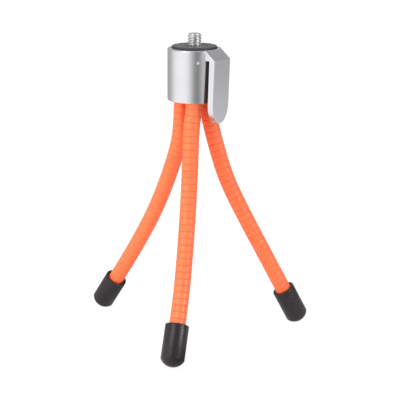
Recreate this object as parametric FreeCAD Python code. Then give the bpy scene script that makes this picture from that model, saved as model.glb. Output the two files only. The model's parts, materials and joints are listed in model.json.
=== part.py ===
"""Pocket camera tripod: a silver head with a pocket clip on three bendable ring-grooved legs.

Millimetres, +Z up. The origin is on the head's axis, in the plane where a camera sits on the
rubber pad. The pocket clip points along +X. Each leg is one bendable sleeve over one wire, cut
here into straight links, so that it can bend at fixed places.
"""
import FreeCAD, Part
import math
import os

Vector = FreeCAD.Vector
Rotation = FreeCAD.Rotation

# Head
HEAD_D = 25.0
HEAD_H = 24.0
RIM_ROUND = 0.55
FOOT_ROUND = 0.3

# Rubber pad in the head's top
PAD_D = 20.8
PAD_THICK = 2.6
PAD_PROUD = 1.2
PAD_GAP = 0.35
PAD_ROUND = 0.3
PAD_HOLE_GAP = 0.15

# Camera screw: a quarter-inch stud over a relieved neck and a pressed-in shank
SCREW_D = 6.35
SCREW_REACH = 5.6
SCREW_TIP = 0.7
SCREW_NECK_D = 4.9
SHANK_D = 8.0
SHANK_L = 7.6

# Pin that locks the screw's shank in the head
PIN_D = 1.5
PIN_DROP = 5.4
PIN_AZIMUTH = -43.0
PIN_BITE = 1.5

# Pocket clip, cast in one with the head; its tongue and the head's flat lean inwards
CLIP_W = 11.6
CLIP_THICK = 3.1
CLIP_OUT = 16.5
CLIP_DROP = 4.2
CLIP_SLOT = 2.1
CLIP_BRIDGE = 4.5
CLIP_OVERHANG = 9.5
CLIP_TIP_H = 9.0
CLIP_LEAN = 1.8
FLAT_LEAN = 1.3
CLIP_ROUND = 0.35

# Legs; the wall is what is left between a leg's sleeve and the head's outside
LEG_WALL = 2.05
SOCKET_DEPTH = 14.0
SOCKET_FIT = 0.05
SLEEVE_D = 7.7
WIRE_D = 3.0
WIRE_FIT = 0.03
RING_PITCH = 3.2
GROOVE_W = 0.7
GROOVE_DEPTH = 0.3

# Joints, as shares of a leg's reach, each moved to the nearest groove; one bends sideways
JOINT_SHARES = (0.025, 0.1, 0.175, 0.33, 0.505, 0.71)
SIDE_JOINT = 1

# Room for a joint to bend: its largest angle, a spare angle and the gap between its two cones
MAX_BEND = 42.0
BEND_SPARE = 1.0
JOINT_GAP = 0.15

# Rubber cap on each foot
CAP_D = 11.1
CAP_L = 19.6
CAP_DOME = 3.4
CAP_FIT = 0.05
CAP_END_WALL = 4.5
CAP_MOUTH_BEVEL = 0.35

# Height of the head's rim over what the tripod stands on, and how its legs' spread is found
STAND_H = 140.2
WIDEST_SPREAD = 2.0
SPREAD_STEPS = 40

# Each leg's reach out of the head, and how it is bent: the azimuths of its socket and of the
# plane that it bends in, how far its first bent stretch leans sideways out of that plane, and
# about how far each of its stretches tilts from vertical, in degrees
LEGS = {
    "left_leg": {
        "length": 128.0,
        "socket": 189.0,
        "plane": 187.3,
        "sideways": -5.0,
        "tilts": (6.2, 18.9, 23.9, 30.2, 32.9),
    },
    "front_leg": {
        "length": 124.5,
        "socket": -51.0,
        "plane": -62.9,
        "sideways": -5.3,
        "tilts": (8.0, 8.0, 14.6, 20.5, 36.1),
    },
    "right_leg": {
        "length": 126.5,
        "socket": 69.0,
        "plane": 48.2,
        "sideways": 4.8,
        "tilts": (14.2, 16.9, 26.6, 27.9, 27.9),
    },
}

HEAD_R = HEAD_D / 2
SLEEVE_R = SLEEVE_D / 2
CAP_R = CAP_D / 2
BORE_R = WIRE_D / 2 + WIRE_FIT
RIM_Z = -PAD_PROUD
RECESS_Z = -PAD_THICK
HEAD_FOOT_Z = RIM_Z - HEAD_H
PIN_Z = RIM_Z - PIN_DROP
SLOT_TOP_Z = RIM_Z - CLIP_BRIDGE
CLIP_TIP_Z = HEAD_FOOT_Z - CLIP_OVERHANG
CLIP_IN = CLIP_OUT - CLIP_THICK
FLAT_OUT = CLIP_IN - CLIP_SLOT
SHOULDER_Z = RIM_Z - CLIP_DROP
LEG_PITCH_R = HEAD_R - LEG_WALL - SLEEVE_R
DOME_R = (CAP_R**2 + CAP_DOME**2) / (2 * CAP_DOME)
FLOOR_Z = RIM_Z - STAND_H


def line(a, b):
    """Straight edge between two (x, z) points of a profile."""
    return Part.LineSegment(Vector(a[0], 0, a[1]), Vector(b[0], 0, b[1])).toShape()


def lines(points):
    """Straight edges from point to point."""
    return [line(a, b) for a, b in zip(points, points[1:])]


def arc(centre, radius, start, end):
    """Round edge of a profile about a centre, between two angles in degrees."""
    points = []
    for angle in (start, (start + end) / 2, end):
        turn = math.radians(angle)
        points.append(Vector(centre[0] + radius * math.cos(turn), 0,
                             centre[1] + radius * math.sin(turn)))
    return Part.Arc(*points).toShape()


def turned(edges):
    """Solid of revolution about Z from a closed profile."""
    face = Part.Face(Part.Wire(edges))
    return face.revolve(Vector(0, 0, 0), Vector(0, 0, 1), 360)


def cylinder(radius, low, high, x=0.0, y=0.0):
    """Upright cylinder between two heights."""
    return Part.makeCylinder(radius, high - low, Vector(x, y, low))


def lean_shift(lean, drop):
    """How far a leaning face has moved inwards after a drop."""
    return drop * math.tan(math.radians(lean))


def turned_head():
    """The head's round body, with a rounded rim, a lightly rounded foot and the clip's slope."""
    rim_centre = (HEAD_R - RIM_ROUND, RIM_Z - RIM_ROUND)
    foot_centre = (HEAD_R - FOOT_ROUND, HEAD_FOOT_Z + FOOT_ROUND)
    edges = lines([(0, RIM_Z), (0, HEAD_FOOT_Z), (foot_centre[0], HEAD_FOOT_Z)])
    edges.append(arc(foot_centre, FOOT_ROUND, -90, 0))
    edges.append(line((HEAD_R, foot_centre[1]), (HEAD_R, rim_centre[1])))
    edges.append(arc(rim_centre, RIM_ROUND, 0, 90))
    edges.append(line((rim_centre[0], RIM_Z), (0, RIM_Z)))
    above_slope = [(FLAT_OUT, RIM_Z), (CLIP_OUT, SHOULDER_Z), (CLIP_OUT, RIM_Z), (FLAT_OUT, RIM_Z)]
    return turned(edges).cut(extruded_across(lines(above_slope), HEAD_D))


def extruded_across(edges, width):
    """Slab of a closed XZ profile, centred on the XZ plane."""
    slab = Part.Face(Part.Wire(edges)).extrude(Vector(0, width, 0))
    slab.translate(Vector(0, -width / 2, 0))
    return slab


def clip_arm():
    """The clip: a sloping shoulder from the rim and a leaning tongue with a long round tip."""
    outer_tip = CLIP_OUT - lean_shift(CLIP_LEAN, SHOULDER_Z - CLIP_TIP_Z)
    inner_tip = CLIP_IN - lean_shift(CLIP_LEAN, SLOT_TOP_Z - CLIP_TIP_Z)
    side = [
        (HEAD_R / 2, RIM_Z),
        (FLAT_OUT, RIM_Z),
        (CLIP_OUT, SHOULDER_Z),
        (outer_tip, CLIP_TIP_Z),
        (inner_tip, CLIP_TIP_Z),
        (CLIP_IN, SLOT_TOP_Z),
        (HEAD_R / 2, SLOT_TOP_Z),
    ]
    plate = extruded_across(lines(side + side[:1]), CLIP_W)
    arm = plate.common(tongue_outline().extrude(Vector(CLIP_OUT, 0, 0)))
    return arm.makeFillet(CLIP_ROUND, [e for e in arm.Edges if frames_outer_face(e)])


def tongue_outline():
    """Face in the YZ plane: straight sides and a tip that is half an ellipse."""
    half = CLIP_W / 2
    round_z = CLIP_TIP_Z + CLIP_TIP_H
    tip_bow = Part.Ellipse(Vector(0, 0, CLIP_TIP_Z), Vector(0, half, round_z), Vector(0, 0, round_z))
    lower = tip_bow.toShape(-math.pi / 2, math.pi / 2)
    ends = [vertex.Point for vertex in lower.Vertexes]
    tops = [Vector(0, end.y, RIM_Z) for end in ends]
    sides = [Part.makeLine(ends[0], tops[0]), Part.makeLine(tops[0], tops[1]),
             Part.makeLine(tops[1], ends[1])]
    return Part.Face(Part.Wire(Part.__sortEdges__([lower] + sides)))


def frames_outer_face(edge):
    """True for the edges along the sides and tip of the clip's slope and outer face."""
    middle = edge.valueAt((edge.FirstParameter + edge.LastParameter) / 2)
    along_tongue = edge.BoundBox.ZLength > CLIP_ROUND
    return along_tongue and middle.x > (CLIP_IN + CLIP_OUT) / 2


def clip_slot():
    """The gap between the head's flat and the clip, round at its top and wider lower down."""
    radius = CLIP_SLOT / 2
    centre = (FLAT_OUT + radius, SLOT_TOP_Z - radius)
    low = HEAD_FOOT_Z - CLIP_OVERHANG
    drop = SLOT_TOP_Z - low
    points = [
        (FLAT_OUT, centre[1]),
        (FLAT_OUT - lean_shift(FLAT_LEAN, drop), low),
        (CLIP_IN - lean_shift(CLIP_LEAN, drop), low),
        (CLIP_IN, centre[1]),
    ]
    gap = extruded_across(lines(points + points[:1]), HEAD_D)
    crown = Part.makeCylinder(radius, HEAD_D, Vector(centre[0], -HEAD_R, centre[1]), Vector(0, 1, 0))
    return gap.fuse(crown)


def pin_rod(start, end):
    """A rod along the lock pin's line, from one distance off the head's axis to another."""
    turn = math.radians(PIN_AZIMUTH)
    out = Vector(math.cos(turn), math.sin(turn), 0)
    return Part.makeCylinder(PIN_D / 2, end - start, out * start + Vector(0, 0, PIN_Z), out)


def socket_centre(leg):
    """Where a leg's axis leaves the head's foot."""
    turn = math.radians(LEGS[leg]["socket"])
    return Vector(LEG_PITCH_R * math.cos(turn), LEG_PITCH_R * math.sin(turn), HEAD_FOOT_Z)


def head_casting():
    """The head and its clip in one piece, with the pad's recess and three leg sockets."""
    head = turned_head().fuse(clip_arm()).cut(clip_slot())
    head = head.cut(cylinder(PAD_D / 2 + PAD_GAP, RECESS_Z, RIM_Z + PAD_PROUD))
    head = head.cut(cylinder(SHANK_D / 2, RECESS_Z - SHANK_L, RECESS_Z))
    head = head.cut(pin_rod(SHANK_D / 4, HEAD_D))
    for leg in LEGS:
        at = socket_centre(leg)
        top = HEAD_FOOT_Z + SOCKET_DEPTH
        low = HEAD_FOOT_Z - SOCKET_DEPTH
        head = head.cut(cylinder(SLEEVE_R + SOCKET_FIT, low, top, at.x, at.y))
    return head.removeSplitter()


def camera_screw():
    """Quarter-inch stud, plain, over its neck and the shank that is pressed into the head."""
    radius, neck, shank = SCREW_D / 2, SCREW_NECK_D / 2, SHANK_D / 2
    foot = RECESS_Z - SHANK_L
    outline = [
        (0, foot),
        (shank, foot),
        (shank, RECESS_Z),
        (neck, RECESS_Z),
        (neck, 0),
        (radius, 0),
        (radius, SCREW_REACH - SCREW_TIP),
        (radius - SCREW_TIP, SCREW_REACH),
        (0, SCREW_REACH),
        (0, foot),
    ]
    return turned(lines(outline)).cut(pin_rod(shank - PIN_BITE, HEAD_D))


def screw_lock_pin():
    """Short pin through the head's wall into the screw's shank."""
    return pin_rod(SHANK_D / 2 - PIN_BITE, HEAD_R)


def top_pad():
    """Rubber disc that the camera sits on, with the screw through its middle."""
    radius, hole = PAD_D / 2, SCREW_D / 2 + PAD_HOLE_GAP
    edges = lines([(hole, 0), (hole, RECESS_Z), (radius, RECESS_Z), (radius, -PAD_ROUND)])
    edges.append(arc((radius - PAD_ROUND, -PAD_ROUND), PAD_ROUND, 0, 90))
    edges.append(line((radius - PAD_ROUND, 0), (hole, 0)))
    return turned(edges)


def grooves(top, low):
    """Points of the V-shaped ring grooves between two distances down the leg."""
    points = []
    for n in range(1, int(low / RING_PITCH) + 1):
        depth = n * RING_PITCH
        if top + RING_PITCH / 2 < depth < low - RING_PITCH / 2:
            points.append((SLEEVE_R, depth - GROOVE_W / 2))
            points.append((SLEEVE_R - GROOVE_DEPTH, depth))
            points.append((SLEEVE_R, depth + GROOVE_W / 2))
    return points


def nose_points():
    """Radius and depth of the corners of the nose below a joint, on a ball as wide as the sleeve."""
    shoulder_r = SLEEVE_R - GROOVE_DEPTH
    return [(r, math.sqrt(SLEEVE_R**2 - r**2)) for r in (shoulder_r, BORE_R)]


def dish_depths():
    """Depth below a joint of the hollow cone's rim and of its bottom.

    The rim is low enough for the largest bend, and the cone clears the ball by the joint's gap.
    """
    rim_angle = math.radians(MAX_BEND / 2 + BEND_SPARE)
    reach = SLEEVE_R / math.cos(rim_angle)
    touch = rim_angle + math.acos((SLEEVE_R + JOINT_GAP) / reach)
    rim = SLEEVE_R * math.tan(rim_angle)
    return rim, rim + (SLEEVE_R - BORE_R) / math.tan(touch)


def sleeve_link(start, end, first, last, mouth):
    """One link of a ringed sleeve, hanging down the Z axis, with no grooves below the cap's mouth.

    All links but the first start in a hollow cone, and all but the last end in a cone.
    """
    rim, bottom = (0.0, 0.0) if first else dish_depths()
    outline = [(BORE_R, start + bottom), (SLEEVE_R, start + rim)]
    outline += grooves(max(start, 0.0), min(end, mouth))
    if last:
        outline += [(SLEEVE_R, end), (BORE_R, end)]
    else:
        outline += [(SLEEVE_R, end - GROOVE_W / 2), (SLEEVE_R - GROOVE_DEPTH, end)]
        outline += [(radius, end + depth) for radius, depth in nose_points()]
    outline.append(outline[0])
    return turned(lines([(radius, -depth) for radius, depth in outline]))


def wire_link(start, end, first, last):
    """The stretch of core wire inside one sleeve link."""
    top = start if first else start + dish_depths()[1]
    low = end if last else end + nose_points()[-1][1]
    return cylinder(WIRE_D / 2, -low, -top)


def foot_cap(length):
    """Rubber cap with a shallow domed end, pushed over the foot of a leg of a given length."""
    inside = SLEEVE_R + CAP_FIT
    floor = CAP_END_WALL - length
    mouth = CAP_L - length
    half_turn = math.degrees(math.asin(CAP_R / DOME_R))
    edges = lines([
        (0, -length),
        (0, floor),
        (inside, floor),
        (inside, mouth),
        (CAP_R - CAP_MOUTH_BEVEL, mouth),
        (CAP_R, mouth - CAP_MOUTH_BEVEL),
        (CAP_R, CAP_DOME - length),
    ])
    edges.append(arc((0, DOME_R - length), DOME_R, half_turn - 90, -90))
    return turned(edges)


def stations(length):
    """Distance of every joint down a leg from the head's foot, each one at a groove."""
    return [round(share * length / RING_PITCH) * RING_PITCH for share in JOINT_SHARES]


def link_spans(length):
    """Start and end of every link, in distance down the leg from the head's foot."""
    joints = stations(length)
    return list(zip([-SOCKET_DEPTH] + joints, joints + [length - CAP_END_WALL]))


def link_turns(leg, spread):
    """Rotation of every link from hanging straight down.

    The first link is straight in its socket. The second leans sideways out of the bending plane
    and tilts as far as the third does.
    """
    plane = Rotation(Vector(0, 0, 1), LEGS[leg]["plane"])
    leans = [Rotation(Vector(0, 1, 0), -tilt * spread) for tilt in LEGS[leg]["tilts"]]
    aside = Rotation(Vector(1, 0, 0), LEGS[leg]["sideways"])
    turns = [plane.multiply(lean) for lean in leans]
    return [plane, turns[0].multiply(aside)] + turns


def down(turn):
    """Direction of a link with that rotation."""
    return turn.multVec(Vector(0, 0, -1))


def joint_points(leg, spread):
    """Centre of every joint of a leg, and last the centre of its foot's dome."""
    length = LEGS[leg]["length"]
    depths = [0.0] + stations(length) + [length - DOME_R]
    points = [socket_centre(leg)]
    for turn, start, end in zip(link_turns(leg, spread), depths, depths[1:]):
        points.append(points[-1] + down(turn) * (end - start))
    return points[1:]


def standing_spread(leg):
    """Share of its listed tilts at which a leg's foot just meets the floor."""
    narrow, wide = 0.0, WIDEST_SPREAD
    for _ in range(SPREAD_STEPS):
        spread = (narrow + wide) / 2
        if joint_points(leg, spread)[-1].z - DOME_R < FLOOR_Z:
            narrow = spread
        else:
            wide = spread
    return spread


def placed(shape, turn, depth, at):
    """Put a point of a hanging piece, at a depth below its start, at a place, and turn it."""
    raised = FreeCAD.Placement(Vector(0, 0, depth), Rotation())
    shape.Placement = FreeCAD.Placement(at, turn).multiply(raised)
    return shape


def leg_pieces(leg):
    """Every sleeve link, wire link and the foot cap of one leg, where they lie."""
    length = LEGS[leg]["length"]
    spread = standing_spread(leg)
    turns = link_turns(leg, spread)
    depths = [0.0] + stations(length)
    tops = [socket_centre(leg)] + joint_points(leg, spread)
    pieces = {}
    for n, (start, end) in enumerate(link_spans(length)):
        first = n == 0
        last = n == len(JOINT_SHARES)
        sleeve = sleeve_link(start, end, first, last, length - CAP_L)
        wire = wire_link(start, end, first, last)
        pieces[f"{leg}_sleeve_{n + 1}"] = placed(sleeve, turns[n], depths[n], tops[n])
        pieces[f"{leg}_wire_{n + 1}"] = placed(wire, turns[n], depths[n], tops[n])
    pieces[f"{leg}_foot_cap"] = placed(foot_cap(length), turns[-1], depths[-1], tops[-2])
    return pieces


def all_pieces():
    """Every node of the tripod by name."""
    pieces = {
        "head_casting": head_casting(),
        "camera_screw": camera_screw(),
        "screw_lock_pin": screw_lock_pin(),
        "top_pad": top_pad(),
    }
    for leg in LEGS:
        pieces.update(leg_pieces(leg))
    return pieces


def write_parts():
    """Write one STEP file per node."""
    os.makedirs("parts", exist_ok=True)
    for name, shape in all_pieces().items():
        shape.exportStep(f"parts/{name}.step")


if __name__ == "__main__":
    write_parts()
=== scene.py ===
"""Looks of a pocket camera tripod: a silver head with a clip on three bendable ringed legs."""

import json
import logging
import math
from dataclasses import dataclass, field
from enum import Enum
from typing import Any, Sequence, Union

import bmesh
import bpy
import numpy as np
from mathutils import Matrix, Vector


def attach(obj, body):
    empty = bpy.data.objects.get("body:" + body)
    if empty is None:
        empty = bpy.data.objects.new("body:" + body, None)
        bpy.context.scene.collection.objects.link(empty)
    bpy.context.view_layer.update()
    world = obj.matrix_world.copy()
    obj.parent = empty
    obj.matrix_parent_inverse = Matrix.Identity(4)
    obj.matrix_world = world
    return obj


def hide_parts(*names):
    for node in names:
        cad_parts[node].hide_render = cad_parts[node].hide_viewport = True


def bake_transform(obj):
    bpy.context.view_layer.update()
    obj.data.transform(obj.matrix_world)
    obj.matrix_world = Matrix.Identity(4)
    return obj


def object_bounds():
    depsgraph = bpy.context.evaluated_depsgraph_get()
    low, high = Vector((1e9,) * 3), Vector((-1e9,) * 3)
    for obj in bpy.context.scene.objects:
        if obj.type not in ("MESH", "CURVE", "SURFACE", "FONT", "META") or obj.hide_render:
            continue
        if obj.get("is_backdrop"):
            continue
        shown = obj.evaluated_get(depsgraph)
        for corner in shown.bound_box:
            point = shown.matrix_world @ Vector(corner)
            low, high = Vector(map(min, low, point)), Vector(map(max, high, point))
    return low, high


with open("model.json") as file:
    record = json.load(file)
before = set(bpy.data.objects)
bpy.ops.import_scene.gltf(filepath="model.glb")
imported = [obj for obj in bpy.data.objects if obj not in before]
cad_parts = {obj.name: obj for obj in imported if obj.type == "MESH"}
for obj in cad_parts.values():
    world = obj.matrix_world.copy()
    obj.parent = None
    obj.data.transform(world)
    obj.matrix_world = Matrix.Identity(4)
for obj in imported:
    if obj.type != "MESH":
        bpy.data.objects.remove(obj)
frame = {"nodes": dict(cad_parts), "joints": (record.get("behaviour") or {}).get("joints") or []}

MM = 0.001
TINY = 1e-6  # A length in millimetres that counts as none.
WHITE = (1.0, 1.0, 1.0, 1.0)
log = logging.getLogger("tripod")

Socket = bpy.types.NodeSocket
Material = bpy.types.Material
Mesh = bpy.types.Mesh
Piece = bpy.types.Object
Pair = tuple[float, float]
# What an input of a node takes.
Feed = Union["Number", Socket, float, int, bool, str, Sequence[float], Material]


class Leg(Enum):
    """The three legs, by the names that the model gives them."""

    LEFT = "left_leg"
    FRONT = "front_leg"
    RIGHT = "right_leg"


class Slot(Enum):
    """The record's material slots."""

    HEAD_METAL = "head_metal"
    SCREW_STEEL = "screw_steel"
    CORE_STEEL = "core_steel"
    BLACK_RUBBER = "black_rubber"
    ORANGE_SLEEVE = "orange_sleeve"


# How far down each leg, in millimetres, the painted shade in its ring grooves stays full before it
# fades.
GROOVE_SHADE_FULL_TO = {Leg.LEFT: 22.0, Leg.FRONT: 150.0, Leg.RIGHT: 68.0}


class Number:
    """A number's socket in a node tree, used in sums as a plain number is."""

    def __init__(self, graph: "Graph", socket: Socket) -> None:
        """Wrap a socket.

        Args:
            graph: the tree that the socket is in.
            socket: an output that gives a number.
        """
        self.graph = graph
        self.socket = socket

    def __add__(self, other: Feed) -> "Number":
        """Sum."""
        return self.graph.math("ADD", self, other)

    __radd__ = __add__

    def __sub__(self, other: Feed) -> "Number":
        """Difference."""
        return self.graph.math("SUBTRACT", self, other)

    def __rsub__(self, other: Feed) -> "Number":
        """Difference, with this number second."""
        return self.graph.math("SUBTRACT", other, self)

    def __mul__(self, other: Feed) -> "Number":
        """Product."""
        return self.graph.math("MULTIPLY", self, other)

    def __truediv__(self, other: Feed) -> "Number":
        """Quotient."""
        return self.graph.math("DIVIDE", self, other)

    def __pow__(self, power: Feed) -> "Number":
        """Power."""
        return self.graph.math("POWER", self, power)

    def __abs__(self) -> "Number":
        """The number without its sign."""
        return self.graph.math("ABSOLUTE", self)


class Graph:
    """A node tree that is written as expressions."""

    def __init__(self, tree: bpy.types.NodeTree) -> None:
        """Hold a tree."""
        self.tree = tree

    @classmethod
    def emptied(cls, owner: Material | bpy.types.World) -> "Graph":
        """The node tree of a material or a world, with nothing in it."""
        owner.use_nodes = True
        owner.node_tree.nodes.clear()
        return cls(owner.node_tree)

    def node(self, kind: str, feeds: dict[int | str, Feed] | None = None,
             **settings: Any) -> bpy.types.Node:
        """Add any node.

        Args:
            kind: the node's type.
            feeds: a value or link for each of its inputs, by name or number.
            settings: its properties, which are set before its inputs.

        Returns:
            The new node.
        """
        made = self.tree.nodes.new(kind)
        for name, value in settings.items():
            setattr(made, name, value)
        for name, value in (feeds or {}).items():
            self.feed(made.inputs[name], value)
        return made

    def feed(self, target: Socket, value: Feed) -> None:
        """Give an input its link or its value.

        Args:
            target: the input.
            value: a Number, an output socket, or a plain value.
        """
        if isinstance(value, Number):
            self.tree.links.new(value.socket, target)
        elif isinstance(value, Socket):
            self.tree.links.new(value, target)
        else:
            target.default_value = value

    def number(self, socket: Socket) -> Number:
        """Wrap an output for use in sums."""
        return Number(self, socket)

    def math(self, operation: str, *values: Feed) -> Number:
        """Add a Math node.

        Args:
            operation: the node's operation.
            values: its one to three values.

        Returns:
            The node's result.
        """
        made = self.node("ShaderNodeMath", dict(enumerate(values)), operation=operation)
        return self.number(made.outputs[0])

    def clamp(self, value: Feed) -> Number:
        """The value, kept between 0 and 1."""
        made = self.node("ShaderNodeMath", {0: value, 1: 0.0}, operation="ADD", use_clamp=True)
        return self.number(made.outputs[0])

    def ease(self, value: Feed) -> Number:
        """The value, kept between 0 and 1 and eased at both ends."""
        held = self.clamp(value)
        return held * held * (3.0 - held * 2.0)

    def either(self, a: Feed, b: Feed) -> Number:
        """The larger of two values."""
        return self.math("MAXIMUM", a, b)

    def split(self, vector: Socket) -> list[Number]:
        """The x, y and z of a vector."""
        return [self.number(s) for s in self.node("ShaderNodeSeparateXYZ", {0: vector}).outputs]

    def across(self, x: Number, y: Number) -> Number:
        """Distance from the Z axis."""
        return self.math("SQRT", x * x + y * y)

    def mix(self, share: Feed, a: Feed, b: Feed) -> Socket:
        """Mix two colours.

        Args:
            share: how much of the second, from 0 to 1.
            a: the first colour.
            b: the second colour.

        Returns:
            The mixed colour's socket.
        """
        return self.node("ShaderNodeMix", {0: share, 6: a, 7: b}, data_type="RGBA").outputs[2]

    def noise(self, place: Socket, grain: float, detail: float = 3.0) -> Number:
        """Soft noise of a grain size.

        Args:
            place: Object coordinates, in metres.
            grain: size of its patches in millimetres.
            detail: how many finer layers it has.

        Returns:
            A value about 0.5.
        """
        feeds = {"Vector": place, "Scale": 1.0 / (grain * MM), "Detail": detail}
        return self.number(self.node("ShaderNodeTexNoise", feeds).outputs["Fac"])

    def relief(self, height: Number, depth: float) -> Socket:
        """A fine relief.

        Args:
            height: relief from 0 to 1.
            depth: its depth in millimetres.

        Returns:
            The surface's changed normal.
        """
        feeds = {"Height": height, "Distance": depth * MM, "Strength": 1.0}
        return self.node("ShaderNodeBump", feeds).outputs["Normal"]

    def rays(self) -> tuple[Number, Number]:
        """Whether a ray comes straight from the camera, and whether a glossy surface sent it."""
        path = self.node("ShaderNodeLightPath").outputs
        straight, through, gloss = (
            self.number(path[f"Is {kind} Ray"]) for kind in ("Camera", "Transmission", "Glossy"))
        return self.either(straight, through), gloss


def rgba(red: float, green: float, blue: float) -> tuple[float, float, float, float]:
    """A colour from three 0 to 255 screen values.

    Args:
        red: screen value of red.
        green: screen value of green.
        blue: screen value of blue.

    Returns:
        The colour as the renderer counts it, with full alpha.
    """
    def linear(value: float) -> float:
        """One screen value as light, by the sRGB curve."""
        share = value / 255.0
        return share / 12.92 if share <= 0.04045 else ((share + 0.055) / 1.055) ** 2.4

    return linear(red), linear(green), linear(blue), 1.0


@dataclass(frozen=True)
class Finish:
    """A surface finish. A subclass says how it varies over the surface."""

    name: str = "finish"

    def material(self) -> Material:
        """Build the finish as a node material.

        Returns:
            The material.
        """
        made = bpy.data.materials.new(self.name)
        graph = Graph.emptied(made)
        surface = graph.node("ShaderNodeBsdfPrincipled")
        graph.node("ShaderNodeOutputMaterial", {"Surface": surface.outputs["BSDF"]})
        place = graph.node("ShaderNodeTexCoord").outputs["Object"]
        for label, value in self.paint(graph, place).items():
            graph.feed(surface.inputs[label], value)
        return made

    def paint(self, graph: Graph, place: Socket) -> dict[str, Feed]:
        """Say what the surface's colour, roughness and relief are.

        Args:
            graph: the material's tree.
            place: Object coordinates, in metres.

        Returns:
            A value or link for each input of the surface, by its name.
        """
        raise NotImplementedError


@dataclass(frozen=True)
class SatinHead(Finish):
    """Satin silver of the cast head: a fine turned grain, worn bright rims and painted shade in the
    clip's slot, in a reddish grey.
    """

    name: str = "satin_silver"
    rim_z: float = -1.2
    foot_z: float = -25.2
    slot_top_z: float = -5.7
    flat_x: float = 11.3
    clip_x: float = 13.4
    flat_lean: float = math.tan(math.radians(1.3))
    clip_lean: float = math.tan(math.radians(1.8))
    side_blur: float = 0.06
    top_blur: float = 0.25

    def slot_share(self, graph: Graph, x: Number, z: Number) -> Number:
        """How much a point lies inside the clip's slot.

        Args:
            graph: the material's tree.
            x: distance along the clip's direction, in millimetres.
            z: height in millimetres.

        Returns:
            1 inside the slot and 0 outside.
        """
        drop = graph.either(self.slot_top_z - z, 0.0)
        past_flat = (x - (self.flat_x - drop * self.flat_lean)) / self.side_blur + 1.6
        before_clip = ((self.clip_x - drop * self.clip_lean) - x) / self.side_blur + 1.6
        below_top = (self.slot_top_z + self.top_blur - z) / self.top_blur
        return graph.clamp(past_flat) * graph.clamp(before_clip) * graph.clamp(below_top)

    def paint(self, graph: Graph, place: Socket) -> dict[str, Feed]:
        """The colour, roughness and relief."""
        x, _, z = graph.split(place)
        x, z = x / MM, z / MM
        grain = graph.noise(place, 0.22)
        smears = graph.noise(place, 2.4, 4.0)
        on_body = graph.clamp((self.flat_x + 0.6 - x) / 0.3)
        near_rim = graph.ease(1.0 - abs(z - self.rim_z) / 0.5)
        near_foot = graph.ease(1.0 - abs(z - self.foot_z) / 0.35) * on_body
        worn = graph.clamp(near_rim + near_foot)
        # Painted shade: inside the clip's slot the silver is mixed to a reddish grey and made less
        # metallic and rougher.
        slot_shade = self.slot_share(graph, x, z)
        silver = graph.mix(graph.noise(place, 7.0), rgba(224, 224, 228), rgba(235, 235, 238))
        bare = graph.mix(worn * 0.3, silver, rgba(244, 244, 246))
        rough = 0.28 + (grain - 0.5) * 0.05 + (smears - 0.5) * 0.06 + worn * 0.16 + slot_shade * 0.3
        return {
            "Base Color": graph.mix(slot_shade * 0.97, bare, rgba(122, 102, 102)),
            "Roughness": graph.clamp(rough),
            "Metallic": 1.0 - slot_shade * 0.4,
            "Normal": graph.relief(grain, 0.0007),
        }


@dataclass(frozen=True)
class BrightSteel(Finish):
    """Machined steel with faint turning lines and painted shade in its thread roots."""

    name: str = "bright_steel"
    crest_r: float = 3.17
    bare: float = 1.0
    dull: float = 0.2
    line_phase: float = 62.0

    def paint(self, graph: Graph, place: Socket) -> dict[str, Feed]:
        """The colour, roughness and relief."""
        x, y, z = (number / MM for number in graph.split(place))
        # Painted shade: the thread roots are mixed towards a deeper grey and made rougher.
        shaded_root = graph.clamp((self.crest_r - 0.12 - graph.across(x, y)) / 0.5)
        lines = graph.math("SINE", z * self.line_phase) * 0.5 + 0.5
        stains = graph.noise(place, 0.8, 4.0)
        steel = graph.mix(stains, rgba(222, 220, 219), rgba(240, 239, 238))
        return {
            "Base Color": graph.mix(shaded_root * 0.14, steel, rgba(94, 88, 87)),
            "Roughness": graph.clamp(self.dull + stains * 0.08 + shaded_root * 0.12),
            "Metallic": graph.clamp(self.bare - shaded_root * 0.1),
            "Normal": graph.relief(lines * 0.4 + stains * 0.6, 0.004),
        }


@dataclass(frozen=True)
class DrawnWire(Finish):
    """Dull drawn steel with fine scratches."""

    name: str = "drawn_steel"

    def paint(self, graph: Graph, place: Socket) -> dict[str, Feed]:
        """The colour, roughness and relief."""
        scratches = graph.noise(place, 0.3, 5.0)
        return {
            "Base Color": graph.mix(scratches, rgba(150, 149, 150), rgba(182, 181, 182)),
            "Roughness": graph.clamp(0.34 + scratches * 0.14),
            "Metallic": 0.96 + scratches * 0.04,
            "Normal": graph.relief(scratches, 0.006),
        }


@dataclass(frozen=True)
class PebbledRubber(Finish):
    """Black rubber with a fine grain between its pebbles, with painted glints of paler grey on the
    pebbles' tops and painted shade that keeps its edge wall black.
    """

    name: str = "pebbled_rubber"
    crest_z: float = 0.0
    wall_shade_z: float = -0.2

    def paint(self, graph: Graph, place: Socket) -> dict[str, Feed]:
        """The colour, roughness and relief."""
        z = graph.split(place)[2] / MM
        grain = graph.noise(place, 0.16)
        crest = graph.ease(1.0 + (z - self.crest_z) / 0.14)
        black = graph.mix(graph.noise(place, 3.0), rgba(38, 36, 38), rgba(58, 56, 58))
        # Painted glints: paler grey flecks on the pebbles' tops. Painted shade: the edge wall gets
        # none of that grey.
        patches = graph.ease((graph.noise(place, 1.2) - 0.44) / 0.14)
        wall_shade = graph.ease((self.wall_shade_z - z) / 0.4)
        grey_and_glints = (0.05 + crest * (grain * 0.3 + patches * 0.6)) * (1.0 - wall_shade)
        return {
            "Base Color": graph.mix(grey_and_glints, black, rgba(180, 178, 180)),
            "Roughness": graph.clamp(0.54 - crest * 0.18 + (grain - 0.5) * 0.2),
            "Normal": graph.relief(grain, 0.02),
        }


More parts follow.
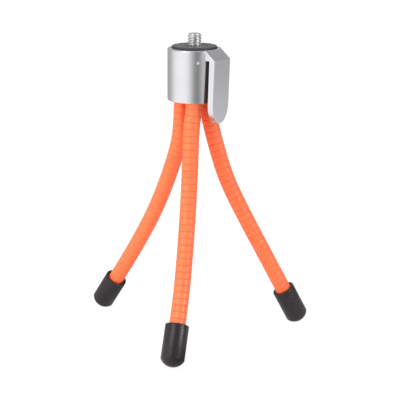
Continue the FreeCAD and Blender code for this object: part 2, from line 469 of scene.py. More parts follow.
@dataclass(frozen=True)
class MouldedRubber(Finish):
    """Charcoal rubber of the foot caps: a fine mould grain with paler dust on it."""

    name: str = "moulded_rubber"

    def paint(self, graph: Graph, place: Socket) -> dict[str, Feed]:
        """The colour, roughness and relief."""
        grain = graph.noise(place, 0.12)
        dust = graph.ease((graph.noise(place, 1.1, 5.0) - 0.52) / 0.2)
        charcoal = graph.mix(graph.noise(place, 4.5, 4.0), rgba(25, 17, 21), rgba(35, 26, 30))
        return {
            "Base Color": graph.mix(dust * 0.12, charcoal, rgba(96, 90, 90)),
            "Roughness": graph.clamp(0.36 + (grain - 0.5) * 0.14 + dust * 0.1),
            "Normal": graph.relief(grain, 0.012),
        }


@dataclass(frozen=True)
class OrangeSleeve(Finish):
    """Orange rubber of the legs, with painted shade in its ring grooves and a deeper, redder
    painted shade where the legs lie close under the head.
    """

    name: str = "orange_sleeve"
    legs_r: float = 7.6
    close_shade_z: float = -47.0

    def paint(self, graph: Graph, place: Socket) -> dict[str, Feed]:
        """The colour, roughness and relief."""
        mark = graph.node("ShaderNodeAttribute", attribute_name="groove")
        groove = graph.number(mark.outputs["Fac"])
        grain = graph.noise(place, 0.15)
        orange = graph.mix(graph.noise(place, 5.0, 4.0), rgba(252, 110, 58), rgba(255, 121, 70))
        pale = graph.ease((grain - 0.55) / 0.25)
        dusted = graph.mix(pale * 0.06, orange, rgba(255, 156, 112))
        x, y, z = (number / MM for number in graph.split(place))
        # Painted shade: the inner faces of the legs just under the head are mixed to a redder,
        # deeper orange, where the head and the other legs shade them.
        inward = graph.ease((self.legs_r - graph.across(x, y)) / 3.0)
        close_shade = inward * graph.ease((z - self.close_shade_z) / 16.0)
        between = graph.mix(close_shade * 0.55, dusted, rgba(236, 62, 26))
        return {
            # Painted shade in the ring grooves: the stored groove mark mixes in a redder, deeper
            # orange.
            "Base Color": graph.mix(groove * 0.6, between, rgba(244, 74, 32)),
            "Roughness": graph.clamp(0.38 + (grain - 0.5) * 0.08 + groove * 0.15),
            "Subsurface Weight": 0.12,
            "Subsurface Radius": (1.0, 0.26, 0.1),
            "Subsurface Scale": 2.4 * MM,
            "Normal": graph.relief(grain, 0.0008),
        }


class ShapeTree(Graph):
    """A geometry tree with named inputs, run on a start mesh to give a plain mesh."""

    def __init__(self, name: str, floats: Sequence[str], ints: Sequence[str] = ()) -> None:
        """Start a tree, which also has the inputs "Start" and "Finish".

        Args:
            name: the tree's name.
            floats: its inputs that take a number.
            ints: its inputs that take a whole number.
        """
        super().__init__(bpy.data.node_groups.new(name, "GeometryNodeTree"))
        kinds = {"Start": "Geometry", **dict.fromkeys(floats, "Float"),
                 **dict.fromkeys(ints, "Int"), "Finish": "Material"}
        sockets = self.tree.interface
        for label, kind in kinds.items():
            sockets.new_socket(label, in_out="INPUT", socket_type="NodeSocket" + kind)
        sockets.new_socket("Shape", in_out="OUTPUT", socket_type="NodeSocketGeometry")
        self.given = self.node("NodeGroupInput")
        self.result = self.node("NodeGroupOutput")

    def start(self) -> Socket:
        """The geometry that the tree starts from."""
        return self.given.outputs["Start"]

    def input(self, label: str) -> Number:
        """A named input, for use in sums."""
        return self.number(self.given.outputs[label])

    def named(self, name: str) -> Number:
        """A number that the points carry under a name."""
        made = self.node("GeometryNodeInputNamedAttribute", {"Name": name}, data_type="FLOAT")
        return self.number(made.outputs[0])

    def store(self, shape: Socket, name: str, value: Number) -> Socket:
        """Give the points a number under a name.

        Args:
            shape: the geometry.
            name: the name.
            value: the number.

        Returns:
            The geometry with it.
        """
        feeds = {"Geometry": shape, "Name": name, "Value": value}
        return self.node("GeometryNodeStoreNamedAttribute", feeds, data_type="FLOAT",
                         domain="POINT").outputs[0]

    def close(self, shape: Socket) -> None:
        """End the tree in smooth shading, Realize Instances and Set Material.

        Args:
            shape: the finished geometry.
        """
        shaded = self.node("GeometryNodeSetShadeSmooth", {"Geometry": shape, "Shade Smooth": True})
        real = self.node("GeometryNodeRealizeInstances", {"Geometry": shaded.outputs[0]})
        dressed = self.node("GeometryNodeSetMaterial", {
            "Geometry": real.outputs[0],
            "Material": self.given.outputs["Finish"],
        })
        self.feed(self.result.inputs["Shape"], dressed.outputs[0])

    def run(self, name: str, start: Mesh, values: dict[str, Any]) -> Piece:
        """Make a piece.

        Args:
            name: the piece's name.
            start: the mesh that the tree works on.
            values: a value for each named input.

        Returns:
            The piece as a plain mesh at the origin.
        """
        seed = linked(name + "_start", start)
        modifier = seed.modifiers.new("shape", "NODES")
        modifier.node_group = self.tree
        for item in self.tree.interface.items_tree:
            if item.in_out == "INPUT" and item.name in values:
                modifier[item.identifier] = values[item.name]
        depsgraph = bpy.context.evaluated_depsgraph_get()
        mesh = bpy.data.meshes.new_from_object(
            seed.evaluated_get(depsgraph), preserve_all_data_layers=True, depsgraph=depsgraph)
        bpy.data.objects.remove(seed)
        bpy.data.meshes.remove(start)
        return placed(name, mesh)


def linked(name: str, data: bpy.types.ID) -> Piece:
    """Make an object of a mesh, a light or a camera, and put it in the scene."""
    made = bpy.data.objects.new(name, data)
    bpy.context.scene.collection.objects.link(made)
    return made


def placed(name: str, mesh: Mesh) -> Piece:
    """Put a piece in the scene.

    Args:
        name: the piece's name.
        mesh: its mesh, already in place.

    Returns:
        The piece.
    """
    mesh.name = name
    log.info("%s: %d faces", name, len(mesh.polygons))
    return linked(name, mesh)


def lathed(name: str, outline: Sequence[Pair], around: int = 96, sharp: float = 40.0) -> Mesh:
    """Turn an outline about the Z axis.

    Args:
        name: the mesh's name.
        outline: radius and height of each point in millimetres, from the axis or from a start that
            the last point meets.
        around: how many steps round.
        sharp: angle in degrees above which an edge is shaded sharp.

    Returns:
        A closed mesh with its faces outwards.
    """
    verts: list[tuple[float, float, float]] = []
    rings: list[list[int]] = []
    for radius, height in outline:
        if radius < TINY:
            rings.append([len(verts)] * around)
            verts.append((0.0, 0.0, height * MM))
        else:
            rings.append(list(range(len(verts), len(verts) + around)))
            for step in range(around):
                turn = 2 * math.pi * step / around
                x, y = radius * MM * math.cos(turn), radius * MM * math.sin(turn)
                verts.append((x, y, height * MM))
    if math.dist(outline[0], outline[-1]) < TINY < outline[0][0]:
        rings[-1] = rings[0]
    faces = []
    for upper, lower in zip(rings, rings[1:]):
        for step in range(around):
            after = (step + 1) % around
            corners = [upper[step], lower[step], lower[after], upper[after]]
            faces.append([v for n, v in enumerate(corners) if v != corners[n - 1]])
    mesh = bpy.data.meshes.new(name)
    mesh.from_pydata(verts, [], [face for face in faces if len(face) > 2])
    tidy(mesh, sharp)
    return mesh


def tidy(mesh: Mesh, sharp: float) -> None:
    """Drop loose points, turn faces outwards and shade smooth up to an angle.

    Args:
        mesh: the mesh, changed in place.
        sharp: angle in degrees above which an edge is shaded sharp.
    """
    work = bmesh.new()
    work.from_mesh(mesh)
    loose = [vert for vert in work.verts if not vert.link_faces]
    bmesh.ops.delete(work, geom=loose, context="VERTS")
    bmesh.ops.recalc_face_normals(work, faces=work.faces)
    for face in work.faces:
        face.smooth = True
    for edge in work.edges:
        if len(edge.link_faces) == 2 and edge.calc_face_angle() > math.radians(sharp):
            edge.smooth = False
    work.to_mesh(mesh)
    work.free()


def rounded(corner: Pair, before: Pair, after: Pair, radius: float, steps: int = 5) -> list[Pair]:
    """Round one corner of an outline.

    Args:
        corner: the corner.
        before: the point before it.
        after: the point after it.
        radius: how far along both sides the round reaches.
        steps: how many runs the round has.

    Returns:
        The points that stand for the corner.
    """
    here = np.array(corner)
    back = np.array(before) - here
    ahead = np.array(after) - here
    a = here + back / np.linalg.norm(back) * radius
    b = here + ahead / np.linalg.norm(ahead) * radius
    points = []
    for step in range(steps + 1):
        t = step / steps
        point = (1 - t) ** 2 * a + 2 * t * (1 - t) * here + t * t * b
        points.append((float(point[0]), float(point[1])))
    return points


def softened(outline: Sequence[Pair], radii: dict[int, float]) -> list[Pair]:
    """Round chosen corners of an outline.

    Args:
        outline: its points.
        radii: round of each chosen point, by its number.

    Returns:
        The outline with its rounds.
    """
    points: list[Pair] = []
    for n, corner in enumerate(outline):
        if n in radii:
            points += rounded(corner, outline[n - 1], outline[n + 1], radii[n])
        else:
            points.append(corner)
    return points


def assign(piece: Piece, material: Material) -> None:
    """Give a piece one material on all its faces."""
    piece.data.materials.clear()
    piece.data.materials.append(material)


def fasten(piece: Piece, node: str, body: str) -> None:
    """Put a piece in the place of a solid.

    Args:
        piece: the piece.
        node: the solid's node.
        body: the body that it moves with.
    """
    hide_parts(node)
    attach(piece, body)


@dataclass
class Head:
    """The cast head with its clip, the camera screw, its lock pin and the rubber pad."""

    screw_d: float = 6.35
    screw_reach: float = 5.6
    screw_tip: float = 0.85
    tip_steps: tuple[Pair, ...] = (
        (0.16, 0.55), (0.42, 0.3), (0.85, 0.12), (1.25, 0.03), (1.75, 0.0))
    shank_d: float = 8.0
    shank_l: float = 7.6
    thread_from: float = -0.85
    thread_pitch: float = 1.27
    thread_depth: float = 0.62
    thread_rows: float = 0.07
    neck_d: float = 4.9
    neck_top: float = -1.3
    pad_d: float = 20.8
    pad_thick: float = 2.6
    pad_round: float = 0.45
    pad_hole_gap: float = 0.15
    pebble_rise: float = 0.13
    pebble_size: float = 0.3
    pebble_spacing: float = 0.46
    head_r: float = 12.5
    pin_d: float = 1.5
    pin_z: float = -6.6
    pin_azimuth: float = -43.0
    pin_sunk: float = 0.02
    metal: Finish = field(default_factory=SatinHead)
    steel: Finish = field(default_factory=BrightSteel)
    pin_steel: Finish = field(
        default_factory=lambda: BrightSteel("dull_pin_steel", 0.0, 0.8, 0.5))
    rubber: Finish = field(default_factory=PebbledRubber)

    def build(self) -> None:
        """Make and dress every piece of the head."""
        casting = frame["nodes"]["head_casting"]
        assign(casting, self.metal.material())
        screw = self.screw(self.steel.material())
        fasten(screw, "camera_screw", "head")
        pad = self.pad(self.rubber.material())
        fasten(pad, "top_pad", "head")
        pin = self.pin(self.pin_steel.material())
        fasten(pin, "screw_lock_pin", "head")

    def thread_tree(self) -> ShapeTree:
        """Build the tree that cuts a screw thread into a turned blank.

        Returns:
            The tree.
        """
        tree = ShapeTree("screw_thread", ["Pitch", "Depth", "From", "To"])
        x, y, z = tree.split(tree.node("GeometryNodeInputPosition").outputs[0])
        turn = tree.math("ARCTAN2", y, x) / (2 * math.pi)
        phase = tree.math("FRACT", z / tree.input("Pitch") - turn + 10.0)
        flank = abs(phase * 2.0 - 1.0)
        cut = tree.ease((flank - 0.3) / 0.62)
        run, core, band = 0.5 * MM, 1.9 * MM, 0.7 * MM
        run_in = tree.clamp((z - tree.input("From")) / run)
        run_out = tree.clamp((tree.input("To") - z) / run)
        radius = tree.across(x, y)
        on_side = tree.clamp((radius - core) / band)
        depth = tree.input("Depth") * cut * run_in * run_out * on_side
        share = 1.0 - depth / tree.either(radius, 0.1 * MM)
        moved = tree.node("ShaderNodeCombineXYZ", {0: x * share, 1: y * share, 2: z})
        cut_shape = tree.node("GeometryNodeSetPosition", {
            "Geometry": tree.start(),
            "Position": moved.outputs[0],
        })
        tree.close(cut_shape.outputs[0])
        return tree

    def screw(self, steel: Material) -> Piece:
        """Make the quarter-inch screw with its thread, neck and shank.

        Args:
            steel: its material.

        Returns:
            The screw.
        """
        crest, neck, shank = self.screw_d / 2 - 0.01, self.neck_d / 2, self.shank_d / 2
        recess, top = -self.pad_thick, self.screw_reach
        rows = np.arange(self.thread_from, top - self.screw_tip, self.thread_rows)
        outline = [
            (0.0, recess - self.shank_l),
            (shank, recess - self.shank_l),
            (shank, recess),
            (neck, recess),
            (neck, self.neck_top),
            *((crest, float(z)) for z in rows),
            (crest, top - self.screw_tip),
            *((crest - inset, top - drop) for inset, drop in self.tip_steps),
            ((crest - self.screw_tip) * 0.4, top),
            (0.0, top),
        ]
        blank = lathed("screw_blank", outline, 128)
        return self.thread_tree().run("threaded_camera_screw", blank, {
            "Pitch": self.thread_pitch * MM,
            "Depth": self.thread_depth * MM,
            "From": (self.thread_from + 0.05) * MM,
            "To": (top - 0.1) * MM,
            "Finish": steel,
        })

    def pebble_tree(self) -> ShapeTree:
        """Build the tree that scatters low pebbles over the pad's upper face.

        Returns:
            The tree.
        """
        tree = ShapeTree("pebbles", ["Spacing", "Size", "Height"])
        upward = tree.split(tree.node("GeometryNodeInputNormal").outputs[0])[2]
        facing = tree.node("FunctionNodeCompare", {0: upward, 1: 0.95},
                           data_type="FLOAT", operation="GREATER_THAN")
        points = tree.node("GeometryNodeDistributePointsOnFaces", {
            "Mesh": tree.start(),
            "Selection": facing.outputs[0],
            "Distance Min": tree.input("Spacing"),
            "Density Max": 6.0e6,
            "Seed": 11,
        }, distribute_method="POISSON")
        pebble = tree.node("GeometryNodeMeshUVSphere", {"Segments": 9, "Rings": 5, "Radius": 1.0})
        share, turn = (
            tree.number(tree.node("FunctionNodeRandomValue", {2: low, 3: high, "Seed": seed},
                                  data_type="FLOAT").outputs[1])
            for low, high, seed in ((0.62, 1.0, 5), (0.0, 6.28, 9)))
        size = tree.input("Size") * share
        height = tree.input("Height") * share
        scale = tree.node("ShaderNodeCombineXYZ", {0: size, 1: size * 0.92, 2: height})
        rotation = tree.node("ShaderNodeCombineXYZ", {2: turn})
        scattered = tree.node("GeometryNodeInstanceOnPoints", {
            "Points": points.outputs["Points"],
            "Instance": pebble.outputs["Mesh"],
            "Rotation": rotation.outputs[0],
            "Scale": scale.outputs[0],
        })
        joined = tree.node("GeometryNodeJoinGeometry")
        tree.feed(joined.inputs[0], tree.start())
        tree.feed(joined.inputs[0], scattered.outputs[0])
        tree.close(joined.outputs[0])
        return tree

    def pad(self, rubber: Material) -> Piece:
        """Make the pebbled rubber disc that the camera sits on.

        Args:
            rubber: its material.

        Returns:
            The pad.
        """
        hole, edge = self.screw_d / 2 + self.pad_hole_gap, self.pad_d / 2
        top, low = -self.pebble_rise, -self.pad_thick
        corners = [(hole, top), (edge, top), (edge, low), (hole, low), (hole, top)]
        disc = lathed("pad_disc", softened(corners, {1: self.pad_round}), 128)
        return self.pebble_tree().run("pebbled_top_pad", disc, {
            "Spacing": self.pebble_spacing * MM,
            "Size": self.pebble_size * MM,
            "Height": self.pebble_rise * MM,
            "Finish": rubber,
        })

    def pin(self, steel: Material) -> Piece:
        """Make the lock pin with its slightly sunken, bevelled end.

        Args:
            steel: its material.

        Returns:
            The pin.
        """
        radius, inner = self.pin_d / 2, self.neck_d / 2 + 0.1
        end = self.head_r - self.pin_sunk
        corners = [
            (0.0, inner), (radius, inner), (radius, end - 0.22), (radius - 0.1, end - 0.06),
            (radius - 0.24, end), (0.0, end),
        ]
        mesh = lathed("screw_lock_pin_end", softened(corners, {3: 0.06, 4: 0.08}), 48)
        azimuth = Matrix.Rotation(math.radians(self.pin_azimuth), 4, "Z")
        turn = azimuth @ Matrix.Rotation(math.radians(90), 4, "Y")
        mesh.transform(Matrix.Translation((0, 0, self.pin_z * MM)) @ turn)
        pin = placed("screw_lock_pin_end", mesh)
        assign(pin, steel)
        return pin


@dataclass
class LegLine:
    """The smooth centreline of one leg, round its hinges, and where they are along it."""

    leg: Leg
    stations: tuple[float, ...] = (3.2, 12.8, 22.4, 41.6, 64.0, 89.6)
    middles: tuple[float, ...] = (0.2, 8.0, 17.6, 32.0, 52.8, 76.8, 100.8)
    socket_depth: float = 14.0
    bend_points: int = 60

    def __post_init__(self) -> None:
        """Work out the centreline from the model's hinges and the foot cap's place."""
        joints = [j for j in frame["joints"] if j["name"].startswith(self.leg.value)]
        self.hinges = [Vector(j["pos_m"]) for j in joints]
        self.bodies = ["head"] + [j["child"] for j in joints]
        self.foot_way, self.length = self._foot()
        self.depths, self.points = self._curve()

    def _foot(self) -> tuple[Vector, float]:
        """The last stretch's direction and the leg's reach in millimetres, from the cap's solid."""
        mesh = frame["nodes"][f"{self.leg.value}_foot_cap"].data
        centre = Vector((0, 0, 0))
        area = 0.0
        for face in mesh.polygons:
            centre += face.center * face.area
            area += face.area
        way = (centre / area - self.hinges[-1]).normalized()
        reach = max((vert.co - self.hinges[-1]).dot(way) for vert in mesh.vertices)
        return way, self.stations[-1] + reach / MM

    def straight(self, depth: float) -> Vector:
        """The point at a depth down the leg, if it bent sharply at its hinges."""
        if depth <= self.stations[0]:
            return self.hinges[0] + Vector((0, 0, (self.stations[0] - depth) * MM))
        if depth >= self.stations[-1]:
            return self.hinges[-1] + self.foot_way * (depth - self.stations[-1]) * MM
        n = max(k for k, station in enumerate(self.stations) if station <= depth)
        share = (depth - self.stations[n]) / (self.stations[n + 1] - self.stations[n])
        return self.hinges[n].lerp(self.hinges[n + 1], share)

    def _curve(self) -> tuple[np.ndarray, np.ndarray]:
        """Dense depths and points of the line, with a soft bend round every hinge."""
        depths = [-self.socket_depth]
        points = [np.array(self.straight(-self.socket_depth))]
        for start, end, hinge in zip(self.middles, self.middles[1:], self.hinges):
            a, b, c = (np.array(p) for p in (self.straight(start), hinge, self.straight(end)))
            t = np.linspace(0.0, 1.0, self.bend_points)[:, None]
            run = (1 - t) ** 2 * a + 2 * t * (1 - t) * b + t * t * c
            steps = np.linalg.norm(np.diff(run, axis=0), axis=1)
            share = np.concatenate([[0.0], np.cumsum(steps)]) / steps.sum()
            depths += list(start + share * (end - start))
            points += list(run)
        depths.append(self.length)
        points.append(np.array(self.straight(self.length)))
        return np.array(depths), np.array(points)

    def at(self, depths: np.ndarray) -> np.ndarray:
        """Points of the line at given depths.

        Args:
            depths: distances down the leg in millimetres.

        Returns:
            One row of three metres for each depth.
        """
        rows = [np.interp(depths, self.depths, self.points[:, k]) for k in range(3)]
        return np.stack(rows, axis=1)


@dataclass
class RingedLeg:
    """One bendable leg: a ringed sleeve in six stretches over its wire, and a rubber foot cap."""

    leg: Leg
    sleeve: Material
    wire: Material
    rubber: Material
    tree: ShapeTree
    sleeve_r: float = 3.85
    ring_pitch: float = 3.2
    ring_rows: tuple[float, ...] = (0.0, 0.07, 0.15, 0.24, 0.34, 0.46, 0.62, 0.9, 1.25, 1.6)
    row_gap: float = 0.03
    groove_w: float = 0.7
    groove_depth: float = 0.13
    fade_over: float = 18.0
    bulge: float = 0.06
    around: int = 64
    links: int = 7
    cap_l: float = 19.6
    cap_r: float = 5.55
    cap_end_wall: float = 4.5
    cap_dome: float = 3.4
    cap_lip: float = 0.5
    cap_fit: float = 0.05
    ring_under_cap: float = 0.4
    dome_steps: int = 16
    splits: tuple[float, ...] = (8.0, 17.6, 33.6, 52.8, 78.4)
    bend_room: tuple[float, ...] = (3.0, 4.6, 4.8, 7.0, 7.0, 7.0)

    def build(self) -> None:
        """Make and dress every piece of the leg."""
        self.line = LegLine(self.leg)
        name = self.leg.value
        last = self.line.length - self.cap_end_wall - self.cap_fit
        ends = (-self.line.socket_depth, *self.splits, last)
        for n, (start, end) in enumerate(zip(ends, ends[1:])):
            piece = self.stretch(n, start, end)
            covered = [n + 1] if n < len(self.splits) else [n + 1, n + 2]
            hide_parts(*(f"{name}_sleeve_{link}" for link in covered))
            station, room = self.line.stations[n], self.bend_room[n]
            before, after = self.line.at(np.array([station - room, station + room]))
            self.line.bodies[n + 1]
            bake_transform(piece)
        for link in range(1, self.links + 1):
            core = frame["nodes"][f"{name}_wire_{link}"]
            assign(core, self.wire)
        cap = self.foot_cap()
        fasten(cap, f"{name}_foot_cap", self.line.bodies[-1])

    def depths(self, start: float, end: float) -> np.ndarray:
        """Depths of the rings of points, close together in the grooves.

        Args:
            start: where the stretch starts down the leg, in millimetres.
            end: where it ends.

        Returns:
            The depths in order.
        """
        near = np.array(self.ring_rows)
        offsets = np.concatenate([-near[:0:-1], near[:-1]])
        first = math.floor(start / self.ring_pitch) - 1
        last = math.ceil(end / self.ring_pitch) + 1
        rows = np.concatenate([n * self.ring_pitch + offsets for n in range(first, last)])
        inner = rows[(rows > start + self.row_gap) & (rows < end - self.row_gap)]
        return np.concatenate([[start], inner, [end]])

    def stretch(self, n: int, start: float, end: float) -> Piece:
        """Make one stretch of the sleeve along the leg's line.

        Args:
            n: number of the hinge that it lies over, from 0.
            start: where it starts down the leg, in millimetres.
            end: where it ends.

        Returns:
            The stretch.
        """
        depths = self.depths(start, end)
        path = bpy.data.meshes.new("path")
        edges = [(k, k + 1) for k in range(len(depths) - 1)]
        path.from_pydata([tuple(p) for p in self.line.at(depths)], edges, [])
        down_leg = path.attributes.new("down_leg", "FLOAT", "POINT")
        down_leg.data.foreach_set("value", depths.astype(np.float32))
        return self.tree.run(f"{self.leg.value}_ringed_sleeve_{n + 1}", path, {
            "Radius": self.sleeve_r * MM,
            "Pitch": self.ring_pitch,
            "Groove width": self.groove_w,
            "Groove depth": self.groove_depth * MM,
            "Bulge": self.bulge * MM,
            "First": self.ring_pitch / 2,
            "Last": self.line.length - self.cap_l + self.ring_under_cap,
            "Shade full to": GROOVE_SHADE_FULL_TO[self.leg],
            "Fade over": self.fade_over,
            "Around": self.around,
            "Finish": self.sleeve,
        })

    def foot_cap(self) -> Piece:
        """Make the domed rubber cap over the leg's end.

        Returns:
            The cap.
        """
        r, inner = self.cap_r, self.sleeve_r + self.cap_fit
        dome_r = (r ** 2 + self.cap_dome ** 2) / (2 * self.cap_dome)
        mouth, floor, lip = self.cap_l, self.cap_end_wall, self.cap_lip
        outer = [(inner, floor), (inner, mouth - lip), (inner + lip, mouth), (r, mouth),
                 (r, self.cap_dome)]
        outline = [(0.0, floor)] + softened(outer, {2: 0.3, 3: 0.5})
        reach = math.asin(r / dome_r)
        for step in range(1, self.dome_steps + 1):
            turn = reach * (1 - step / self.dome_steps)
            outline.append((dome_r * math.sin(turn), dome_r - dome_r * math.cos(turn)))
        outline[-1] = (0.0, 0.0)
        name = f"{self.leg.value}_domed_foot_cap"
        mesh = lathed(name, outline, 96, 35.0)
        foot = self.line.straight(self.line.length)
        up = (-self.line.foot_way).to_track_quat("Z", "Y")
        mesh.transform(Matrix.Translation(foot) @ up.to_matrix().to_4x4())
        cap = placed(name, mesh)
        assign(cap, self.rubber)
        return cap


def sleeve_tree() -> ShapeTree:
    """Build the tree that sweeps a ringed sleeve along a path.

    Returns:
        The tree.
    """
    tree = ShapeTree("ringed_sleeve", [
        "Radius", "Pitch", "Groove width", "Groove depth", "Bulge", "First", "Last", "Shade full to",
        "Fade over",
    ], ["Around"])
    depth = tree.named("down_leg")
    pitch = tree.input("Pitch")
    turns = depth / pitch
    off = abs(turns - tree.math("ROUND", turns))
    begun = tree.clamp((depth - tree.input("First")) * 20.0)
    ringed = begun * tree.clamp((tree.input("Last") - depth) * 20.0)
    groove = tree.ease(1.0 - off * pitch * 2.0 / tree.input("Groove width")) * ringed
    swell = (1.0 - off * 2.0) ** 2.0 * ringed
    shade_fade = tree.clamp((depth - tree.input("Shade full to")) / tree.input("Fade over"))
    cut = tree.input("Radius") - tree.input("Groove depth") * groove
    radius = cut - tree.input("Bulge") * swell
    # The groove mark drives the material's painted shade in the grooves; past the full-shade depth
    # it fades by up to 70 percent.
    marked = tree.store(tree.start(), "groove", groove * (1.0 - shade_fade * 0.7))
    sized = tree.store(marked, "ring_r", radius)
    line = tree.node("GeometryNodeMeshToCurve", {"Mesh": sized})
    circle = tree.node("GeometryNodeCurvePrimitiveCircle", {
        "Resolution": tree.input("Around"),
        "Radius": 1.0,
    }, mode="RADIUS")
    swept = tree.node("GeometryNodeCurveToMesh", {
        "Curve": line.outputs[0],
        "Profile Curve": circle.outputs[0],
        "Scale": tree.named("ring_r"),
        "Fill Caps": True,
    })
    tree.close(swept.outputs[0])
    return tree


@dataclass(frozen=True)
class Lamp:
    """A soft lamp in metres and watts, placed right of, away from and above the camera's line."""

    name: str
    place: tuple[float, float, float]
    size: float
    power: float
    hidden: tuple[str, ...] = ()


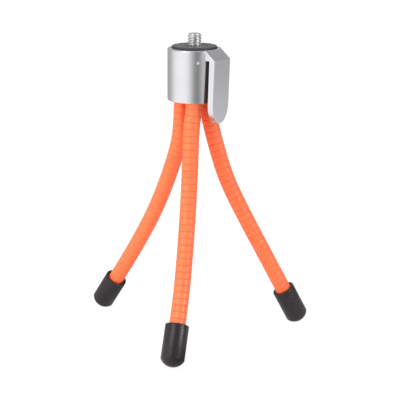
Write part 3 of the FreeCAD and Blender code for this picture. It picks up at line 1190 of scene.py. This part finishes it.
@dataclass
class Studio:
    """The pale floor, the soft light and the camera."""

    floor_size: float = 8.0
    floor_gap: float = 0.00005
    floor_glow: float = 0.86
    eye: tuple[float, float, float] = (3.14, -465.4, 61.9)
    heading: float = 39.0
    pitch: float = 16.31
    roll: float = 0.49
    focal_px: float = 1008.8
    photo_px: float = 400.0
    sensor: float = 36.0
    ambient: float = 1.1
    paper: float = 0.68
    white: float = 1.08
    upper: float = 0.38
    upper_from: float = 0.22
    upper_over: float = 0.36
    flank_from: float = 60.0
    flank_over: float = 30.0
    aim_z: float = -0.06
    lamps: tuple[Lamp, ...] = (
        Lamp("key", (-0.42, -0.5, 0.42), 0.42, 1.8),
        Lamp("top", (0.0, 0.15, 0.75), 0.5, 1.6, ("glossy",)),
        Lamp("wash", (-0.56, -0.5, 0.0), 0.4, 2.0, ("glossy",)),
        Lamp("fill", (0.62, -0.3, 0.26), 0.3, 0.8, ("diffuse",)),
        Lamp("glint", (0.618, -0.329, 0.11), 0.16, 1.1, ("diffuse",)),
    )
    surroundings: tuple[Pair, ...] = (
        (-180.0, 0.7), (-150.0, 0.5), (-140.0, 0.38), (-112.0, 0.6), (-92.0, 0.95), (-80.0, 1.08),
        (-40.0, 1.1), (-26.0, 1.0), (-12.0, 0.66), (0.0, 0.31), (14.0, 0.18), (26.0, 0.34),
        (38.0, 0.62), (52.0, 0.78), (70.0, 0.66), (100.0, 0.46), (140.0, 0.42), (150.0, 0.5),
        (180.0, 0.7),
    )

    def build(self, low_z: float) -> None:
        """Make the floor, the world, the lamps and the camera.

        Args:
            low_z: height in metres of what the tripod stands on.
        """
        bpy.context.scene.view_settings.view_transform = "Standard"
        self.floor(low_z - self.floor_gap)
        self.world()
        for lamp in self.lamps:
            self.hang(lamp)
        self.camera()

    def turned(self, place: Sequence[float]) -> Vector:
        """A place right of, away from and above the camera's line, in the model's frame."""
        return Matrix.Rotation(math.radians(self.heading), 3, "Z") @ Vector(place)

    def floor(self, height: float) -> None:
        """Make the floor, which the camera sees as white with a faint shadow on it.

        Args:
            height: its height in metres.
        """
        half = self.floor_size / 2
        corners = [(x, y, height) for x, y in (
            (-half, -half), (half, -half), (half, half), (-half, half))]
        mesh = bpy.data.meshes.new("studio_floor")
        mesh.from_pydata(corners, [], [(0, 1, 2, 3)])
        floor = placed("studio_floor", mesh)
        material = bpy.data.materials.new("pale_floor")
        graph = Graph.emptied(material)
        seen, gloss = graph.rays()
        here = graph.node("ShaderNodeTexCoord").outputs["Object"]
        level = seen * self.white + (1.0 - seen) * self.room(graph, here)
        tone = (self.paper, self.paper, self.paper, 1.0)
        paper = graph.node("ShaderNodeBsdfDiffuse", {"Color": tone})
        glow = graph.node("ShaderNodeEmission", {"Color": WHITE, "Strength": level})
        share = graph.clamp(seen * self.floor_glow + gloss)
        shaders = {0: share, 1: paper.outputs[0], 2: glow.outputs[0]}
        both = graph.node("ShaderNodeMixShader", shaders)
        graph.node("ShaderNodeOutputMaterial", {"Surface": both.outputs[0]})
        mesh.materials.append(material)
        floor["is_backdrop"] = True

    def room(self, graph: Graph, way: Socket) -> Number:
        """How bright the studio round the tripod is in a glossy surface, by the way round.

        Args:
            graph: the material's or world's tree.
            way: a vector that points there from the head's axis.

        Returns:
            The brightness, where 1 is white.
        """
        x, y, _ = graph.split(way)
        turn = graph.math("ARCTAN2", y, x) - math.radians(self.heading - 90.0)
        turn = graph.math("WRAP", turn, math.pi, -math.pi)
        top = max(level for _, level in self.surroundings)
        ramp = graph.node("ShaderNodeValToRGB", {0: turn / (2 * math.pi) + 0.5})
        stops = ramp.color_ramp.elements
        while len(stops) < len(self.surroundings):
            stops.new(1.0)
        for stop, (angle, level) in zip(stops, self.surroundings):
            stop.position = angle / 360.0 + 0.5
            stop.color = (level / top,) * 3 + (1.0,)
        near = graph.clamp((0.75 - graph.across(x, y)) / 0.4)
        past = turn - math.radians(self.flank_from)
        flank = graph.ease(past / math.radians(self.flank_over))
        return graph.number(ramp.outputs[0]) * top * (1.0 - flank * 0.26 + near * flank * 0.8)

    def world(self) -> None:
        """Make the surroundings: white to the camera, even soft light, and cards in the gloss."""
        world = bpy.data.worlds.new("studio")
        bpy.context.scene.world = world
        graph = Graph.emptied(world)
        straight, gloss = graph.rays()
        way = graph.node("ShaderNodeTexCoord").outputs["Generated"]
        high = graph.ease((graph.split(way)[2] - self.upper_from) / self.upper_over)
        room = self.room(graph, way) * (1.0 - high) + high * self.upper
        light = gloss * room + (1.0 - gloss) * self.ambient
        level = straight + (1.0 - straight) * light
        back = graph.node("ShaderNodeBackground", {"Color": WHITE, "Strength": level})
        graph.node("ShaderNodeOutputWorld", {"Surface": back.outputs[0]})

    def hang(self, lamp: Lamp) -> None:
        """Hang one lamp, aimed at the head.

        Args:
            lamp: the lamp, with the kinds of ray that don't see it.
        """
        data = bpy.data.lights.new(lamp.name, "AREA")
        data.shape = "SQUARE"
        data.size = lamp.size
        data.energy = lamp.power
        made = linked(lamp.name, data)
        made.location = self.turned(lamp.place)
        aim = Vector((0, 0, self.aim_z)) - made.location
        made.rotation_euler = aim.to_track_quat("-Z", "Y").to_euler()
        for kind in lamp.hidden:
            setattr(made, f"visible_{kind}", False)

    def camera(self) -> None:
        """Set up the camera at the photograph's viewing angle."""
        data = bpy.data.cameras.new("camera")
        data.sensor_width = self.sensor
        data.lens = self.focal_px * self.sensor / self.photo_px
        data.clip_start = 0.01
        data.clip_end = 50.0
        camera = linked("camera", data)
        turn = (Matrix.Rotation(math.radians(self.heading), 4, "Z")
                @ Matrix.Rotation(math.radians(90.0 - self.pitch), 4, "X")
                @ Matrix.Rotation(math.radians(self.roll), 4, "Z"))
        camera.matrix_world = Matrix.Translation(self.turned([v * MM for v in self.eye])) @ turn
        bpy.context.scene.camera = camera


def corners(box: tuple[Vector, Vector]) -> list[list[float]]:
    """A box as plain lists of numbers."""
    return [list(box[0]), list(box[1])]


def main() -> None:
    """Build the tripod's pieces and the studio, with the floor under the solids' box."""
    logging.basicConfig(level=logging.INFO, format="%(name)s %(message)s")
    cad_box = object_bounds()
    Studio().build(cad_box[0].z)
    Head().build()
    sleeve = OrangeSleeve().material()
    wire = DrawnWire().material()
    rubber = MouldedRubber().material()
    tree = sleeve_tree()
    for leg in Leg:
        RingedLeg(leg, sleeve, wire, rubber, tree).build()
    bpy.context.view_layer.update()


if __name__ == "__main__":
    main()
